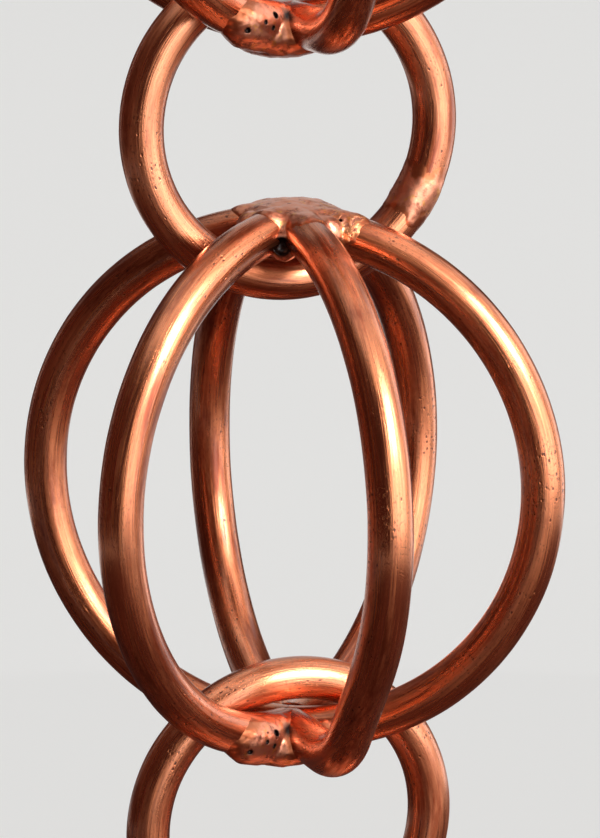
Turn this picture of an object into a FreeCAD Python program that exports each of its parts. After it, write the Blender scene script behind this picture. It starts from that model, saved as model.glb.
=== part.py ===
import FreeCAD, Part
import math
import os

# A length of rain chain: ball-shaped cages bent from round copper bar, linked by plain rings.
# Millimetres, +Z up. At rest the rings lie in the XZ plane and the cages hang straight below each other.
# The origin is the point inside the top ring's bar where a hanger bears.
# A heading is the direction of an arc round the Z axis, in degrees from -Y towards +X.

# Driving sizes: alias, value, what it is
SIZES = (
    ("bar_diameter", 6.35, "round bar of every hoop, rib and ring"),
    ("hoop_radius", 37.5, "centre line of a cage's hoop and ribs"),
    ("ring_radius", 22.2, "centre line of a ring link"),
    ("hoop_heading", 56, "front side of a cage's one full hoop"),
    ("left_heading", -58, "left rib"),
    ("front_heading", 2, "front rib"),
    ("right_heading", 129, "right rib"),
    ("back_heading", 180, "back rib"),
    ("foot_start", 125, "where the front rib leaves the circle, in degrees down from the top"),
    ("foot_radius", 12, "tight bend that brings the front rib in to the lower pole"),
    ("link_clearance", 0.3, "between a ring's bar and the arcs it hangs in"),
    ("braze_gap", 0.05, "between a bar and the bar it is brazed to"),
    ("braze_reach", 9.5, "from the pole of a cage to the edge of its braze"),
    ("braze_depth", 4.4, "thickness of the braze at the pole"),
    ("seam_width", 0.8, "brazed butt joint that closes a ring"),
    ("seam_clock", -30, "place of that joint, in degrees from +X towards +Z"),
)
# Room beyond the bars for the wedge that trims each rib, as a share of the hoop's radius
WEDGE_MARGIN = 1.5
# How far past a pole the front rib's bar runs before it is trimmed, as a share of its diameter
PAST_POLE = 1.5
# Linked pairs of one ring and one cage, from the top
LINKS = ("upper", "middle", "lower")
# A full turn, in degrees
TURN = 360
# Each rib stands between two trimming planes: its name, its heading, then where its wedge starts and ends
BETWEEN_LEFT_AND_FRONT = "(Sizes.left_heading + Sizes.front_heading) / 2"
BETWEEN_RIGHT_AND_BACK = "(Sizes.right_heading + Sizes.back_heading) / 2"
RIBS = (
    ("left_rib", "Sizes.left_heading", "Sizes.hoop_heading - 180", BETWEEN_LEFT_AND_FRONT),
    ("front_rib", "Sizes.front_heading", BETWEEN_LEFT_AND_FRONT, "Sizes.hoop_heading"),
    ("right_rib", "Sizes.right_heading", "Sizes.hoop_heading", BETWEEN_RIGHT_AND_BACK),
    ("back_rib", "Sizes.back_heading", BETWEEN_RIGHT_AND_BACK, "Sizes.hoop_heading + 180"),
)
# The rib that comes in to the lower pole on a tight bend
FOOTED_RIB = "front_rib"

doc = FreeCAD.newDocument("rain_chain")
sheet = doc.addObject("Spreadsheet::Sheet", "Sizes")


def set_size(row, alias, value, meaning):
    """Writes one named size and its meaning on a row of the sheet."""
    sheet.set(f"A{row}", meaning)
    sheet.set(f"B{row}", str(value))
    sheet.setAlias(f"B{row}", alias)


for number, size in enumerate(SIZES, start=1):
    set_size(number, *size)
doc.recompute()


# How deep a ring sits in a cage

def distance_to_arc(point, heading, whole):
    """Distance from a point to the centre line of a cage's hoop, or of a rib's half circle."""
    angle = math.radians(heading)
    outward = point[0] * math.sin(angle) - point[1] * math.cos(angle)
    aside = point[0] * math.cos(angle) + point[1] * math.sin(angle)
    behind = 0.0 if whole else min(outward, 0.0)
    return math.hypot(math.hypot(outward - behind, point[2]) - sheet.hoop_radius, aside, behind)


def ring_clearance(seat):
    """Least room between a cage's bars and a ring's bar whose centre is seat above the cage's."""
    nearest = math.inf
    for step in range(-180, 180):
        turn = math.radians(step)
        point = (sheet.ring_radius * math.sin(turn), 0.0, seat - sheet.ring_radius * math.cos(turn))
        nearest = min(nearest, distance_to_arc(point, sheet.hoop_heading, True))
        for rib in RIBS:
            nearest = min(nearest, distance_to_arc(point, sheet.get(rib[1].removeprefix("Sizes.")), False))
    return nearest - sheet.bar_diameter


def find_seat():
    """Distance from a cage's centre to a ring's, with the ring hanging in the windows between the arcs."""
    low = sheet.ring_radius
    high = sheet.ring_radius + sheet.hoop_radius - sheet.bar_diameter
    while high - low > sheet.link_clearance / 1000:
        middle = (low + high) / 2
        if ring_clearance(middle) > sheet.link_clearance:
            low = middle
        else:
            high = middle
    return low


SEAT_MEANING = "worked out: from a cage's centre to the centre of a ring that hangs in it"
set_size(len(SIZES) + 1, "seat", find_seat(), SEAT_MEANING)
doc.recompute()

# Makers of features

BAR = "Sizes.bar_diameter / 2"
BAR_AND_GAP = "Sizes.bar_diameter / 2 + Sizes.braze_gap"
sub_parts = []


def node(feature, label):
    """Marks a feature as a finished piece with its own name."""
    feature.Label = label
    sub_parts.append(feature)
    return feature


def place(feature, height, yaw, pitch, roll, reach="0"):
    """Binds a feature's height, its reach from the Z axis along its yaw, and its turn to expressions."""
    turn = f"rotation({yaw}; {pitch}; {roll})"
    spot = f"vector({reach} * cos({yaw}); {reach} * sin({yaw}); {height})"
    feature.setExpression("Placement", f"placement({spot}; {turn})")


def bar_arc(name, bend_radius, bar_radius, turn):
    """A bar bent round an arc."""
    arc = doc.addObject("Part::Torus", name)
    arc.setExpression("Radius1", bend_radius)
    arc.setExpression("Radius2", bar_radius)
    arc.setExpression("Angle3", turn)
    return arc


def bar_run(name, bar_radius, length):
    """A straight run of bar."""
    run = doc.addObject("Part::Cylinder", name)
    run.setExpression("Radius", bar_radius)
    run.setExpression("Height", length)
    return run


def cage_circle(name, height, heading, bar_radius):
    """A bar bent to a full circle that stands upright in the plane of a heading."""
    circle = bar_arc(name, "Sizes.hoop_radius", bar_radius, f"{TURN}")
    place(circle, height, f"{heading} + 90", "0", "90")
    return circle


def footed_bar(name, height, heading, bar_radius):
    """A bar that leaves the circle for a straight run and comes in to the lower pole on a tight bend."""
    yaw = f"{heading} - 90"
    start = "Sizes.foot_start"
    straight = f"(Sizes.hoop_radius - Sizes.foot_radius) * tan(90 - {start} / 2)"
    past_pole = f"{PAST_POLE} * Sizes.bar_diameter"
    over_top = f"{past_pole} / Sizes.hoop_radius * 180 / pi"
    arc = bar_arc(f"{name}_arc", "Sizes.hoop_radius", bar_radius, f"{start} + {over_top}")
    place(arc, height, yaw, f"{start} - 90", "90")
    run = bar_run(f"{name}_run", bar_radius, straight)
    run_height = f"{height} + Sizes.hoop_radius * cos({start})"
    place(run, run_height, yaw, f"{start} + 90", "0", f"Sizes.hoop_radius * sin({start})")
    bend = bar_arc(f"{name}_bend", "Sizes.foot_radius", bar_radius, f"180 - {start}")
    place(bend, f"{height} - Sizes.hoop_radius + Sizes.foot_radius", yaw, "90", "90", straight)
    foot = bar_run(f"{name}_foot", bar_radius, f"{straight} + {past_pole}")
    place(foot, f"{height} - Sizes.hoop_radius", yaw, "-90", "0", straight)
    bar = doc.addObject("Part::MultiFuse", name)
    bar.Shapes = [arc, run, bend, foot]
    return bar


def boolean(kind, name, base, tool):
    """Combines two features."""
    result = doc.addObject(kind, name)
    result.Base = base
    result.Tool = tool
    return result


def wedge(name, height, start, end):
    """An upright wedge of space between two headings, taller and wider than a cage."""
    sector = doc.addObject("Part::Cylinder", name)
    sector.setExpression("Radius", f"Sizes.hoop_radius * {WEDGE_MARGIN}")
    sector.setExpression("Height", f"Sizes.hoop_radius * {2 * WEDGE_MARGIN}")
    sector.setExpression("Angle", f"{end} - ({start})")
    place(sector, f"{height} - Sizes.hoop_radius * {WEDGE_MARGIN}", f"{start} - 90", "0", "0")
    return sector


def build_ring(link, height):
    """A ring bent from bar, open by the width of its seam, and the braze that closes it."""
    seam_turn = "Sizes.seam_width / Sizes.ring_radius * 180 / pi"
    gap_turn = "Sizes.braze_gap / Sizes.ring_radius * 180 / pi"
    ring = bar_arc(f"{link}_ring", "Sizes.ring_radius", BAR, f"{TURN} - {seam_turn}")
    place(ring, height, "0", f"-(Sizes.seam_clock + {seam_turn} / 2)", "90")
    seam = bar_arc(f"{link}_ring_seam", "Sizes.ring_radius", BAR, f"{seam_turn} - 2 * {gap_turn}")
    place(seam, height, "0", f"-(Sizes.seam_clock - {seam_turn} / 2 + {gap_turn})", "90")
    for piece in (ring, seam):
        node(piece, piece.Name)


def build_braze(name, pole, rooms):
    """The pool of braze in the crotches of a pole, cut by the rooms that stay free of it."""
    braze = doc.addObject("Part::Ellipsoid", f"{name}_pool")
    braze.setExpression("Radius1", "Sizes.braze_depth / 2")
    braze.setExpression("Radius2", "Sizes.braze_reach")
    braze.setExpression("Radius3", "Sizes.braze_reach")
    place(braze, pole, "0", "0", "0")
    for room in rooms:
        braze = boolean("Part::Cut", f"{name}_without_{room.Name}", braze, room)
    node(braze, name)


def build_cage(link, height):
    """One full hoop, four ribs coped to it and mitred to each other, and the braze at both poles."""
    cage = f"{link}_cage"
    node(cage_circle(f"{cage}_hoop", height, "Sizes.hoop_heading", BAR), f"{cage}_hoop")
    room = cage_circle(f"{cage}_hoop_room", height, "Sizes.hoop_heading", BAR_AND_GAP)
    rooms = [room]
    for name, heading, start, end in RIBS:
        label = f"{cage}_{name}"
        sector = wedge(f"{label}_wedge", height, start, end)
        bend = footed_bar if name == FOOTED_RIB else cage_circle
        bar = bend(f"{label}_bar", height, heading, BAR)
        half = boolean("Part::Common", f"{label}_half", bar, sector)
        node(boolean("Part::Cut", label, half, room), label)
        wide_bar = bend(f"{label}_wide_bar", height, heading, BAR_AND_GAP)
        rooms.append(boolean("Part::Common", f"{label}_room", wide_bar, sector))
    open_crotch = wedge(f"{cage}_open_crotch", height, "Sizes.left_heading", "Sizes.front_heading")
    build_braze(f"{cage}_top_braze", f"{height} + Sizes.hoop_radius", rooms + [open_crotch])
    build_braze(f"{cage}_bottom_braze", f"{height} - Sizes.hoop_radius", rooms)


for place_in_chain, link_name in enumerate(LINKS):
    ring_height = f"-(Sizes.ring_radius - {BAR}) - {2 * place_in_chain} * Sizes.seat"
    build_ring(link_name, ring_height)
    build_cage(link_name, f"{ring_height} - Sizes.seat")

# Check and write every piece

doc.recompute()
for feature in doc.Objects:
    if "Invalid" in feature.State or "Error" in feature.State:
        raise RuntimeError(f"{feature.Label} failed: {feature.State}")
for piece in sub_parts:
    if piece.Shape.isNull() or not piece.Shape.isValid():
        raise RuntimeError(f"{piece.Label} has no valid shape")
os.makedirs("parts", exist_ok=True)
for piece in sub_parts:
    piece.Shape.exportStep(f"parts/{piece.Label}.step")
    print(piece.Label, len(piece.Shape.Solids), "solids", round(piece.Shape.Volume, 2), "mm3")
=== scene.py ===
"""A copper rain chain, ball cages hung in plain rings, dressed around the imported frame.

Every cage is one full hoop and four ribs bent from round copper bar and brazed together at its two poles.
Lengths are metres and angles are degrees unless a name says otherwise. A heading is the direction of an arc
round the upright axis, from -Y towards +X.
"""

import logging
import math
from contextlib import contextmanager
from dataclasses import dataclass, field
from enum import Enum
from typing import Callable, Iterator, Union

import bmesh
import bpy
from mathutils import Matrix, Vector


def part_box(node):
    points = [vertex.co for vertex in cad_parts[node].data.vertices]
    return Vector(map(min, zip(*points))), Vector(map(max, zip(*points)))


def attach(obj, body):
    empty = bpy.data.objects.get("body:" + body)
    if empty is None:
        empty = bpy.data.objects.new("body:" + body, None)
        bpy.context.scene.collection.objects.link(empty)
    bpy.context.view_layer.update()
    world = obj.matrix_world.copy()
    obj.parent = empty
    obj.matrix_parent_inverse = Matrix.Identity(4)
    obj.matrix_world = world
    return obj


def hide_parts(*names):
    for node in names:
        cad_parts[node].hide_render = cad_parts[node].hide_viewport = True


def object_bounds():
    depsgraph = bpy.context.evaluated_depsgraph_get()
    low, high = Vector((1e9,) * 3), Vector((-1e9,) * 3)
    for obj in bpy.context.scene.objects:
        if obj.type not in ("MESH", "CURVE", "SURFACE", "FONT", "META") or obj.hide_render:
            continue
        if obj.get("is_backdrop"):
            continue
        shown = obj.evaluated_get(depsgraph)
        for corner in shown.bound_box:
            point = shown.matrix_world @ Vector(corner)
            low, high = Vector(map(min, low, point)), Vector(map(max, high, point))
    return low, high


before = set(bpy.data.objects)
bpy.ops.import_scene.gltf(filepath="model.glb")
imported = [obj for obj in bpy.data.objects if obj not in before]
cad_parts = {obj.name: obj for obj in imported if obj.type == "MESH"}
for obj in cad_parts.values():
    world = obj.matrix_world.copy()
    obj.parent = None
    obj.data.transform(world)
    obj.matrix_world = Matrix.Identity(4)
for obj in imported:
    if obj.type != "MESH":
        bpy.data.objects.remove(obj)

LOG = logging.getLogger("rain_chain")
MM = 0.001
UP = Vector((0.0, 0.0, 1.0))
MERGE_DISTANCE = 0.01 * MM
CLOUD_DEPTH = 2
CRUST_STEPS = 14
PATTERN_STEP = 0.9

# The attributes that the finishes read from a mesh
STRAIGHT = "straight"
# Painted shade: how far a crown's point lies in a hole or in the crotch spot, where shade is painted black
PAINTED_SHADE = "soot"
FILLER = "filler"
THIN = "thin"

Colour = tuple[float, float, float, float]
Socket = bpy.types.NodeSocket
Value = Union[float, int, tuple, Socket]
Inputs = dict[Union[str, int], Value]


class Arc(Enum):
    """The six arms that leave each pole of a cage, by their headings."""

    LEFT = -58.0
    FRONT = 2.0
    HOOP_FRONT = 56.0
    RIGHT = 129.0
    BACK = 180.0
    HOOP_BACK = 236.0

    @property
    def outward(self) -> Vector:
        """The level direction in which the arm leaves the axis."""
        return heading_direction(self.value)


class Pole(Enum):
    """The two ends of a cage where its arcs meet, by their side of the centre."""

    TOP = 1.0
    BOTTOM = -1.0


class LinkName(Enum):
    """The linked pairs of one ring and one cage, by their names in the frame."""

    UPPER = "upper"
    MIDDLE = "middle"
    LOWER = "lower"


CROTCH_HEADING = (Arc.LEFT.value + Arc.FRONT.value) / 2


def heading_direction(heading: float) -> Vector:
    """Gives the level direction of a heading.

    Args:
        heading: degrees from -Y towards +X.

    Returns:
        The unit vector of that direction.
    """
    turn = math.radians(heading)
    return Vector((math.sin(turn), -math.cos(turn), 0.0))


def node_centre(node: str) -> Vector:
    """Gives the middle of a node's box in the frame."""
    low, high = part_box(node)
    return (low + high) / 2


def node_span(node: str) -> Vector:
    """Gives the lengths of a node's box in the frame."""
    low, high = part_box(node)
    return high - low


# Work at the bench: selecting, editing and finishing a mesh

def pick_only(*pieces: bpy.types.Object) -> None:
    """Deselects everything, then selects the given pieces.

    Args:
        pieces: the pieces to select, of which the first becomes the active one.
    """
    bpy.ops.object.select_all(action="DESELECT")
    for piece in pieces:
        piece.select_set(True)
    bpy.context.view_layer.objects.active = pieces[0]


@contextmanager
def editing(piece: bpy.types.Object) -> Iterator[None]:
    """Opens a piece in edit mode with all of it selected, and closes it again.

    Args:
        piece: the piece to edit.

    Returns:
        A context in which the piece is open.
    """
    pick_only(piece)
    bpy.ops.object.mode_set(mode="EDIT")
    bpy.ops.mesh.select_all(action="SELECT")
    yield
    bpy.ops.object.mode_set(mode="OBJECT")


def new_piece(name: str) -> bpy.types.Object:
    """Names the primitive that was just added and moves its place into its mesh.

    Args:
        name: the piece's name.

    Returns:
        The piece, with its object at the origin.
    """
    piece = bpy.context.object
    piece.name = name
    piece.data.name = name
    pick_only(piece)
    bpy.ops.object.transform_apply(location=True, rotation=True, scale=True)
    return piece


def add_ball(
    name: str,
    spot: Vector,
    radius: float,
    segments: int = 24,
    flatness: float = 1.0,
) -> bpy.types.Object:
    """Adds a ball of filler.

    Args:
        name: the ball's name.
        spot: its centre.
        radius: its level radius.
        segments: the number of its sides.
        flatness: its height as a share of its width.

    Returns:
        The ball, as a piece of its own.
    """
    bpy.ops.object.select_all(action="DESELECT")
    bpy.ops.mesh.primitive_uv_sphere_add(
        segments=segments,
        ring_count=segments // 2,
        radius=radius,
        location=spot,
    )
    bpy.context.object.scale = (1.0, 1.0, flatness)
    return new_piece(name)


def join_pieces(pieces: list[bpy.types.Object]) -> bpy.types.Object:
    """Joins pieces into one.

    Args:
        pieces: the pieces to join.

    Returns:
        The first of them, which holds them all.
    """
    pick_only(*pieces)
    bpy.ops.object.join()
    return pieces[0]


def apply_modifiers(piece: bpy.types.Object) -> None:
    """Applies modifiers in their order.

    Args:
        piece: the piece that has them.
    """
    pick_only(piece)
    for modifier in list(piece.modifiers):
        bpy.ops.object.modifier_apply(modifier=modifier.name)


def close_mesh(piece: bpy.types.Object) -> None:
    """Merges doubled points, closes open ends and turns all faces outwards.

    Args:
        piece: the piece to close.
    """
    with editing(piece):
        bpy.ops.mesh.remove_doubles(threshold=MERGE_DISTANCE)
        bpy.ops.mesh.fill_holes(sides=0)
        bpy.ops.mesh.normals_make_consistent(inside=False)


def clean_cut(piece: bpy.types.Object) -> None:
    """Takes out the points that a cut leaves in the middle of an edge, then makes all faces triangles.

    Args:
        piece: the piece that was cut.
    """
    with editing(piece):
        mesh = bmesh.from_edit_mesh(piece.data)
        for point in mesh.verts:
            point.select_set(len(point.link_edges) == 2)
        mesh.select_flush(False)
        bmesh.update_edit_mesh(piece.data)
        bpy.ops.mesh.dissolve_verts()
        bpy.ops.mesh.select_all(action="SELECT")
        bpy.ops.mesh.quads_convert_to_tris(quad_method="BEAUTY", ngon_method="BEAUTY")


def add_unevenness(piece: bpy.types.Object, name: str, size: float, height: float) -> None:
    """Adds a Displace modifier with a cloudy texture, for the unevenness of hand work.

    Args:
        piece: the piece to roughen.
        name: the name of the modifier and its texture.
        size: the size of one swelling.
        height: from the deepest hollow to the highest swelling.
    """
    texture = bpy.data.textures.get(name) or bpy.data.textures.new(name, "CLOUDS")
    texture.noise_scale = size
    texture.noise_depth = CLOUD_DEPTH
    swell = piece.modifiers.new(name, "DISPLACE")
    swell.texture = texture
    swell.texture_coords = "LOCAL"
    swell.strength = height


@dataclass
class Bar:
    """Round copper bar, the stock of every hoop, rib and ring."""

    radius: float
    facets: int = 40
    step: float = 0.6 * MM
    uneven_size: float = 11 * MM
    uneven_height: float = 0.10 * MM

    def section(self, name: str, spot: Vector, direction: Vector) -> bpy.types.Object:
        """Adds the round section that a bar is drawn from.

        Args:
            name: the bar's name.
            spot: the centre of the section.
            direction: the way the bar will run.

        Returns:
            The section, as a piece of its own.
        """
        bpy.ops.object.select_all(action="DESELECT")
        bpy.ops.mesh.primitive_circle_add(
            vertices=self.facets,
            radius=self.radius,
            location=spot,
            rotation=direction.to_track_quat("Z", "Y").to_euler(),
        )
        return new_piece(name)

    def bend(self, turn: float, radius: float, centre: Vector, axis: Vector) -> None:
        """Bends the selected end of a bar round an arc, in edit mode.

        Args:
            turn: the arc's angle, in radians.
            radius: the arc's radius at the bar's centre line.
            centre: the arc's centre.
            axis: the axis of the turn, right-handed.
        """
        steps = max(1, round(turn * radius / self.step))
        bpy.ops.mesh.spin(steps=steps, angle=turn, center=centre, axis=-axis)

    def run(self, move: Vector) -> None:
        """Draws the selected end of a bar straight on, in edit mode.

        Args:
            move: from the end's place to its new one.
        """
        steps = max(1, round(move.length / self.step))
        for _ in range(steps):
            bpy.ops.mesh.extrude_region_move(TRANSFORM_OT_translate={"value": move / steps})

    def taper(self, spots: list[Vector], radii: list[float], draw_on: Callable[[], object]) -> None:
        """Draws the selected end of a bar on in steps, in edit mode, with a radius for each of them.

        Args:
            spots: the centre of the bar's end at each step.
            radii: the bar's radius at each step.
            draw_on: draws the end on to the next spot.
        """
        radius = self.radius
        for step, (spot, wanted) in enumerate(zip(spots, radii)):
            if step > 0:
                draw_on()
            bpy.ops.transform.resize(value=(wanted / radius,) * 3, center_override=spot)
            radius = wanted

    def finish(self, piece: bpy.types.Object) -> None:
        """Closes a bent bar and gives it the slight waves of hand bending.

        Args:
            piece: the bar.
        """
        close_mesh(piece)
        add_unevenness(piece, "hand_bending", self.uneven_size, self.uneven_height)
        apply_modifiers(piece)
        piece.data.shade_smooth()


def lay_straight(
    piece: bpy.types.Object,
    centre: Vector,
    outward: Vector,
    start: Vector,
    radius: float,
) -> None:
    """Stores each point's place on the bar as if it were straight: along it, then across its section.

    Args:
        piece: the bent bar.
        centre: the centre of its circle.
        outward: one direction in the circle's plane.
        start: the direction in that plane, square to outward, from which the length is counted.
        radius: the radius of its centre line.
    """
    aside = start.cross(outward)
    attribute = piece.data.attributes.new(STRAIGHT, "FLOAT_VECTOR", "POINT")
    for point, stored in zip(piece.data.vertices, attribute.data):
        spoke = point.co - centre
        out, on = spoke.dot(outward), spoke.dot(start)
        along = radius * math.atan2(out, on)
        stored.vector = (along, math.hypot(out, on) - radius, spoke.dot(aside))


def mark_thin(piece: bpy.types.Object, height_at: Callable[[Vector], float], feather: float) -> None:
    """Stores how thin the braze is at each of a piece's points, from 0 to 1 where it runs out on a bar.

    Args:
        piece: the piece of braze.
        height_at: gives the height of a point over the bars' skin.
        feather: the height from which the braze is at its full colour.
    """
    attribute = piece.data.attributes.new(THIN, "FLOAT", "POINT")
    for point, stored in zip(piece.data.vertices, attribute.data):
        stored.value = min(1.0, max(0.0, 1 - height_at(point.co) / feather))


def shift_straight(piece: bpy.types.Object, along: float) -> None:
    """Moves a bar's stored places along it, so that a copy shows another stretch of the pattern.

    Args:
        piece: the bar. A piece with no stored places stays as it is.
        along: how far they move.
    """
    attribute = piece.data.attributes.get(STRAIGHT)
    if attribute is None:
        return
    for stored in attribute.data:
        stored.vector.x += along


# Shader nodes

class Board:
    """A node tree with short calls that place nodes and wire them."""

    def __init__(self, tree: bpy.types.NodeTree) -> None:
        """Takes the tree to build in."""
        self.tree = tree

    def feed(self, node: bpy.types.Node, values: Inputs) -> None:
        """Feeds a node's inputs.

        Args:
            node: the node.
            values: a number or colour to set, or a socket to wire, for each input.
        """
        for key, value in values.items():
            if isinstance(value, Socket):
                self.tree.links.new(value, node.inputs[key])
            else:
                node.inputs[key].default_value = value

    def node(self, kind: str, values: Inputs | None = None, **settings: object) -> bpy.types.Node:
        """Places a node.

        Args:
            kind: the node's type.
            values: what its inputs are fed.
            settings: the node's own properties.

        Returns:
            The node.
        """
        made = self.tree.nodes.new(kind)
        for key, setting in settings.items():
            setattr(made, key, setting)
        self.feed(made, values or {})
        return made

    def attribute(self, name: str, output: str = "Fac") -> Socket:
        """Reads one of the mesh's attributes and returns its value."""
        return self.node("ShaderNodeAttribute", attribute_name=name).outputs[output]

    def math(
        self,
        operation: str,
        first: Value,
        second: Value = 0.0,
        third: Value = 0.0,
        clamp: bool = False,
    ) -> Socket:
        """Places a Math node and returns its result."""
        values = {0: first, 1: second, 2: third}
        return self.node("ShaderNodeMath", values, operation=operation, use_clamp=clamp).outputs[0]

    def weigh(self, *parts: tuple[Socket, float]) -> Socket:
        """Adds up values by their weights.

        Args:
            parts: each value with its weight.

        Returns:
            The sum, 1 at most.
        """
        total: Value = 0.0
        for value, weight in parts:
            total = self.math("MULTIPLY_ADD", value, weight, total, clamp=True)
        return total

    def spread(
        self,
        value: Value,
        low: float = 0.0,
        high: float = 1.0,
        to_low: float = 0.0,
        to_high: float = 1.0,
    ) -> Socket:
        """Maps a value smoothly from one range to another.

        Args:
            value: the value to map.
            low: the start of its range.
            high: the end of its range.
            to_low: the result at the start.
            to_high: the result at the end.

        Returns:
            The result.
        """
        made = self.node(
            "ShaderNodeMapRange",
            {"Value": value, "From Min": low, "From Max": high, "To Min": to_low, "To Max": to_high},
            interpolation_type="SMOOTHSTEP",
        )
        return made.outputs["Result"]

    def blend(self, share: Value, first: Value, second: Value) -> Socket:
        """Mixes two colours, by the Mix node's colour sockets, and returns the result."""
        values = {0: share, 6: first, 7: second}
        return self.node("ShaderNodeMix", values, data_type="RGBA").outputs[2]

    def noise(self, place: Socket, scale: Value, detail: float, rough: float) -> Socket:
        """Places a Noise Texture and returns its value."""
        values = {"Vector": place, "Scale": scale, "Detail": detail, "Roughness": rough}
        return self.node("ShaderNodeTexNoise", values).outputs["Fac"]

    def bump(self, height: Socket, depth: float, under: Socket | None = None) -> Socket:
        """Places a Bump node.

        Args:
            height: the relief, from 0 to 1.
            depth: its depth.
            under: the normal of the relief under it, if there is one.

        Returns:
            The new normal.
        """
        values = {"Strength": 1.0, "Distance": depth, "Height": height}
        if under is not None:
            values["Normal"] = under
        return self.node("ShaderNodeBump", values).outputs[0]

    def stretch(self, place: Socket, factors: Value) -> Socket:
        """Scales a place by a factor on each axis and returns it."""
        made = self.node("ShaderNodeVectorMath", {0: place, 1: factors}, operation="MULTIPLY")
        return made.outputs[0]


class Effect(Enum):
    """The shared surface effects, each a node group."""

    DRAWN_GRAIN = "drawn_grain"
    BROWN_FILM = "brown_film"
    PITTING = "pitting"


def new_group(
    effect: Effect,
    inputs: dict[str, tuple[str, Value]],
    outputs: tuple[str, ...],
) -> tuple[Board, dict[str, Socket], bpy.types.Node]:
    """Starts a node group with named sockets.

    Args:
        effect: the effect that the group makes.
        inputs: for each input, its socket type and its usual value.
        outputs: the names of the outputs, all plain values.

    Returns:
        The board to build on, the inputs' sockets by name, and the output node.
    """
    tree = bpy.data.node_groups.new(effect.value, "ShaderNodeTree")
    for name, (kind, value) in inputs.items():
        socket = tree.interface.new_socket(name, in_out="INPUT", socket_type=kind)
        if value is not None:
            socket.default_value = value
    for name in outputs:
        tree.interface.new_socket(name, in_out="OUTPUT", socket_type="NodeSocketFloat")
    board = Board(tree)
    entry = board.node("NodeGroupInput")
    exit_node = board.node("NodeGroupOutput")
    return board, {name: entry.outputs[name] for name in inputs}, exit_node


def make_drawn_grain() -> None:
    """Makes the fine lines that drawing leaves along a bar, and the softer bands between them."""
    inputs = {
        "Place": ("NodeSocketVector", None),
        "Line Scale": ("NodeSocketFloat", 2900.0),
        "Band Scale": ("NodeSocketFloat", 620.0),
    }
    board, given, result = new_group(Effect.DRAWN_GRAIN, inputs, ("Lines", "Bands"))
    line_place = board.stretch(given["Place"], factors=(0.025, 1.0, 1.0))
    lines = board.noise(line_place, given["Line Scale"], detail=3.0, rough=0.6)
    band_place = board.stretch(given["Place"], factors=(0.07, 1.0, 1.0))
    bands = board.noise(band_place, given["Band Scale"], detail=4.0, rough=0.6)
    sharp_lines = board.spread(lines, low=0.3, high=0.7)
    sharp_bands = board.spread(bands, low=0.38, high=0.62)
    board.feed(result, {"Lines": sharp_lines, "Bands": sharp_bands})


def make_brown_film() -> None:
    """Makes the brown film of weather, in long clouds along a bar with a broken edge."""
    inputs = {
        "Place": ("NodeSocketVector", None),
        "Cloud Scale": ("NodeSocketFloat", 190.0),
        "Length": ("NodeSocketVector", (0.22, 1.0, 1.0)),
        "Cover": ("NodeSocketFloat", 0.5),
    }
    board, given, result = new_group(Effect.BROWN_FILM, inputs, ("Film",))
    long_place = board.stretch(given["Place"], given["Length"])
    clouds = board.noise(long_place, given["Cloud Scale"], detail=7.0, rough=0.68)
    edge = board.math("SUBTRACT", 1.0, given["Cover"])
    above = board.math("SUBTRACT", clouds, edge)
    board.feed(result, {"Film": board.spread(above, low=-0.10, high=0.10)})


def make_pitting() -> None:
    """Makes small pits in clusters, with grains of dirt between them."""
    inputs = {
        "Place": ("NodeSocketVector", None),
        "Pit Scale": ("NodeSocketFloat", 1700.0),
        "Raggedness": ("NodeSocketFloat", 0.22),
        "Cluster Scale": ("NodeSocketFloat", 95.0),
        "Density": ("NodeSocketFloat", 0.4),
    }
    board, given, result = new_group(Effect.PITTING, inputs, ("Pits", "Grains"))
    oval = board.stretch(given["Place"], factors=(0.62, 1.0, 1.0))
    cells = board.node("ShaderNodeTexVoronoi", {"Vector": oval, "Scale": given["Pit Scale"]})
    rag = board.noise(oval, scale=5200.0, detail=2.0, rough=0.5)
    reach = board.math("MULTIPLY_ADD", rag, given["Raggedness"], cells.outputs["Distance"])
    dot = board.spread(reach, low=0.22, high=0.46, to_low=1.0, to_high=0.0)
    chance = board.node("ShaderNodeSeparateColor", {"Color": cells.outputs["Color"]}).outputs[0]
    clusters = board.noise(given["Place"], given["Cluster Scale"], detail=2.0, rough=0.5)
    crowded = board.spread(clusters, low=0.50, high=0.68)
    kept = board.math("LESS_THAN", chance, board.math("MULTIPLY", crowded, given["Density"]))
    specks = board.spread(board.noise(oval, scale=3300.0, detail=3.0, rough=0.6), low=0.56, high=0.68)
    scatter = board.spread(clusters, low=0.36, high=0.62, to_low=0.15)
    pits = board.math("MULTIPLY", dot, kept)
    board.feed(result, {"Pits": pits, "Grains": board.math("MULTIPLY", specks, scatter)})


def make_effects() -> None:
    """Makes every shared effect once."""
    make_drawn_grain()
    make_brown_film()
    make_pitting()


def new_material(name: str) -> tuple[bpy.types.Material, Board, bpy.types.Node]:
    """Starts a material that holds one Principled shader.

    Args:
        name: the material's name.

    Returns:
        The material, the board of its node tree, and the shader.
    """
    material = bpy.data.materials.new(name)
    material.use_nodes = True
    board = Board(material.node_tree)
    shader = material.node_tree.nodes["Principled BSDF"]
    return material, board, shader


def matte_material(name: str, colour: Colour, rough: float) -> bpy.types.Material:
    """Makes a plain matte material.

    Args:
        name: the material's name.
        colour: its colour.
        rough: its roughness.

    Returns:
        The material.
    """
    material, board, shader = new_material(name)
    board.feed(shader, {"Base Color": colour, "Roughness": rough})
    return material


def add_effect(board: Board, effect: Effect, values: Inputs) -> bpy.types.Node:
    """Places a shared effect in a material with its own values."""
    return board.node("ShaderNodeGroup", values, node_tree=bpy.data.node_groups[effect.value])


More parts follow.
